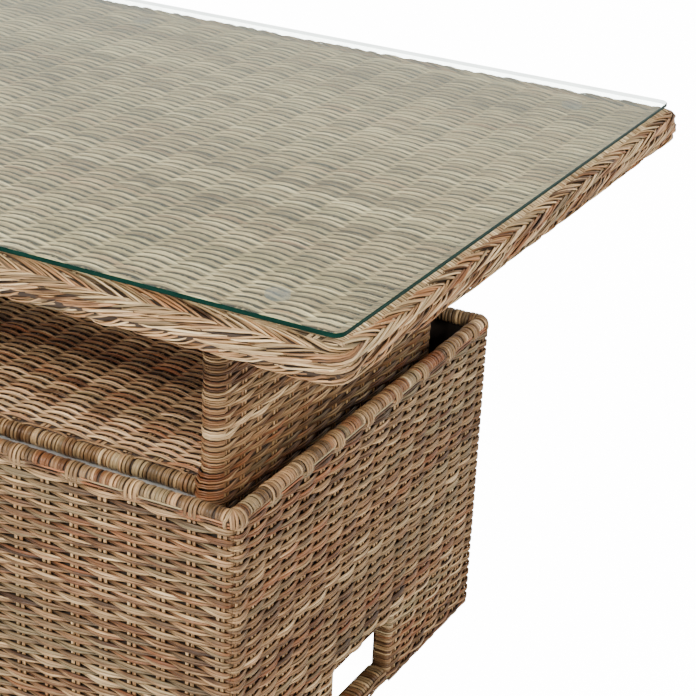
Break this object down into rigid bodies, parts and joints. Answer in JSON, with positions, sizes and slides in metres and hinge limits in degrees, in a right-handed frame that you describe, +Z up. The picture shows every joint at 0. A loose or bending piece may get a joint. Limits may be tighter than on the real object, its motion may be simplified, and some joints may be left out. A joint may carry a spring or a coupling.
{
  "type": "height-adjustable wicker table",
  "caption": "Rectangular woven wicker patio table with a glass sheet on a plaited-edge top; a shelved inner box rises out of a wrapped base, released by a lever at each end.",
  "frame": {"origin": "on the floor under the middle of the table", "axes": "+X along the table to its right end, +Y from its front to its back, +Z up; modelled raised"},
  "size_m": [1.505, 0.89, 0.72],
  "materials": {
    "wicker_body": "matte",
    "wicker_sheet": "matte",
    "wicker_braid": "matte",
    "lining": "matte",
    "glass": "polished",
    "silicone": "satin",
    "frame_aluminium": "satin",
    "black_steel": "satin",
    "bright_steel": "satin",
    "nylon": "satin",
    "black_plastic": "matte",
    "grip_rubber": "matte"
  },
  "bodies": {
    "base": {"base_back_weave": "wicker_body", "base_corner_posts": "frame_aluminium", "base_cross_tubes": "frame_aluminium", "base_front_weave": "wicker_body", "base_left_weave": "wicker_body", "base_liner": "lining", "base_right_weave": "wicker_body", "base_screws": "bright_steel", "bottom_rail_back": "frame_aluminium", "bottom_rail_front": "frame_aluminium", "column_foot_left": "bright_steel", "column_foot_right": "bright_steel", "foot_glides": "black_plastic", "gas_cylinder_left": "black_steel", "gas_cylinder_right": "black_steel", "gas_glands": "nylon", "guide_bushes": "nylon", "guide_tubes": "frame_aluminium", "rim_rail_back": "frame_aluminium", "rim_rail_front": "frame_aluminium", "rim_rail_left": "frame_aluminium", "rim_rail_right": "frame_aluminium", "stretcher_tubes": "frame_aluminium", "stretcher_wraps": "wicker_body", "window_headers": "frame_aluminium", "window_posts": "frame_aluminium"},
    "lift": {"gas_rod_left": "bright_steel", "gas_rod_right": "bright_steel", "glass_pads": "silicone", "glass_top": "glass", "guide_rods": "bright_steel", "lever_pins": "bright_steel", "lift_plate_left": "black_steel", "lift_plate_right": "black_steel", "lift_screws": "bright_steel", "release_head_left": "black_steel", "release_head_right": "black_steel", "shelf_bars": "frame_aluminium", "shelf_cross_tubes": "frame_aluminium", "shelf_under_rails": "frame_aluminium", "shelf_weave": "wicker_sheet", "shelf_wrap_back": "wicker_body", "shelf_wrap_front": "wicker_body", "top_braid": "wicker_braid", "top_cross_tubes": "frame_aluminium", "top_tube_back": "frame_aluminium", "top_tube_front": "frame_aluminium", "top_tube_left": "frame_aluminium", "top_tube_right": "frame_aluminium", "top_weave": "wicker_sheet", "wall_posts": "frame_aluminium", "wall_weave_left": "wicker_body", "wall_weave_right": "wicker_body"},
    "right_lever": {"release_lever_right": "bright_steel", "lever_grip_right": "grip_rubber"},
    "left_lever": {"release_lever_left": "bright_steel", "lever_grip_left": "grip_rubber"},
    "right_valve": {"valve_pin_right": "bright_steel"},
    "left_valve": {"valve_pin_left": "bright_steel"}
  },
  "joints": [
    {"name": "lift_slide", "type": "slide", "parent": "base", "child": "lift", "axis": [0, 0, 1], "range_m": [-0.215, 0]},
    {"name": "right_lever_hinge", "type": "hinge", "parent": "lift", "child": "right_lever", "pos_m": [0.522, 0, 0.6585], "axis": [0, -1, 0], "range_deg": [0, 6.5], "stiffness_Nm_per_rad": 1.5},
    {"name": "left_lever_hinge", "type": "hinge", "parent": "lift", "child": "left_lever", "pos_m": [-0.522, 0, 0.6585], "axis": [0, 1, 0], "range_deg": [0, 6.5], "stiffness_Nm_per_rad": 1.5},
    {"name": "right_valve_slide", "type": "slide", "parent": "lift", "child": "right_valve", "axis": [0, 0, 1], "range_m": [-0.00261, 0]},
    {"name": "left_valve_slide", "type": "slide", "parent": "lift", "child": "left_valve", "axis": [0, 0, 1], "range_m": [-0.00261, 0]}
  ],
  "couplings": [
    {"joint": "right_valve_slide", "follows": "right_lever_hinge", "m_per_rad": -0.023},
    {"joint": "left_valve_slide", "follows": "left_lever_hinge", "m_per_rad": -0.023}
  ]
}
